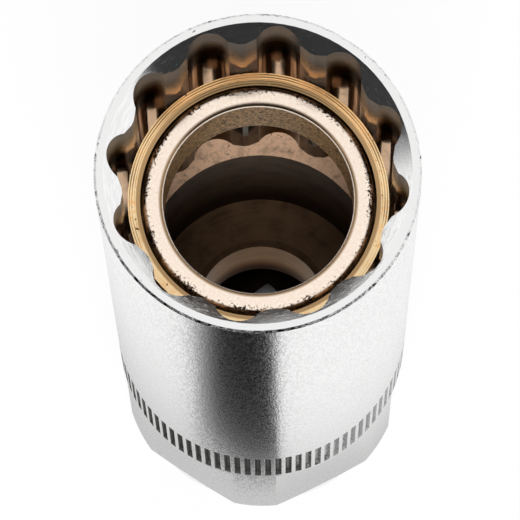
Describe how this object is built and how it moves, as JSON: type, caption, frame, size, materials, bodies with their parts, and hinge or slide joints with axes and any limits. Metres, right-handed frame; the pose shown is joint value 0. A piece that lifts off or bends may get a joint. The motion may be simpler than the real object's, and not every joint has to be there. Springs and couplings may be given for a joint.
{
  "type": "spark plug socket",
  "caption": "Deep round socket with a fluted mouth, a ring magnet in a brass sleeve that grips a spark plug, a knurled band, a wrench hexagon and a square drive hole.",
  "frame": {"origin": "centre of the base face at the drive end, on the socket's axis", "axes": "+Z along the axis from the drive end to the mouth; the wrench hexagon has a corner towards -Y and flats towards +X and -X"},
  "size_m": [0.0204, 0.0204, 0.0645],
  "materials": {
    "satin_chrome": "satin chrome plate outside, bare tinted steel inside",
    "turned_brass": "turned, with fine concentric lines",
    "plated_magnet": "plated, worn and speckled at its shoulders"
  },
  "bodies": {
    "root": {"socket_body": "satin_chrome", "brass_sleeve": "turned_brass", "ring_magnet": "plated_magnet"}
  },
  "joints": []
}
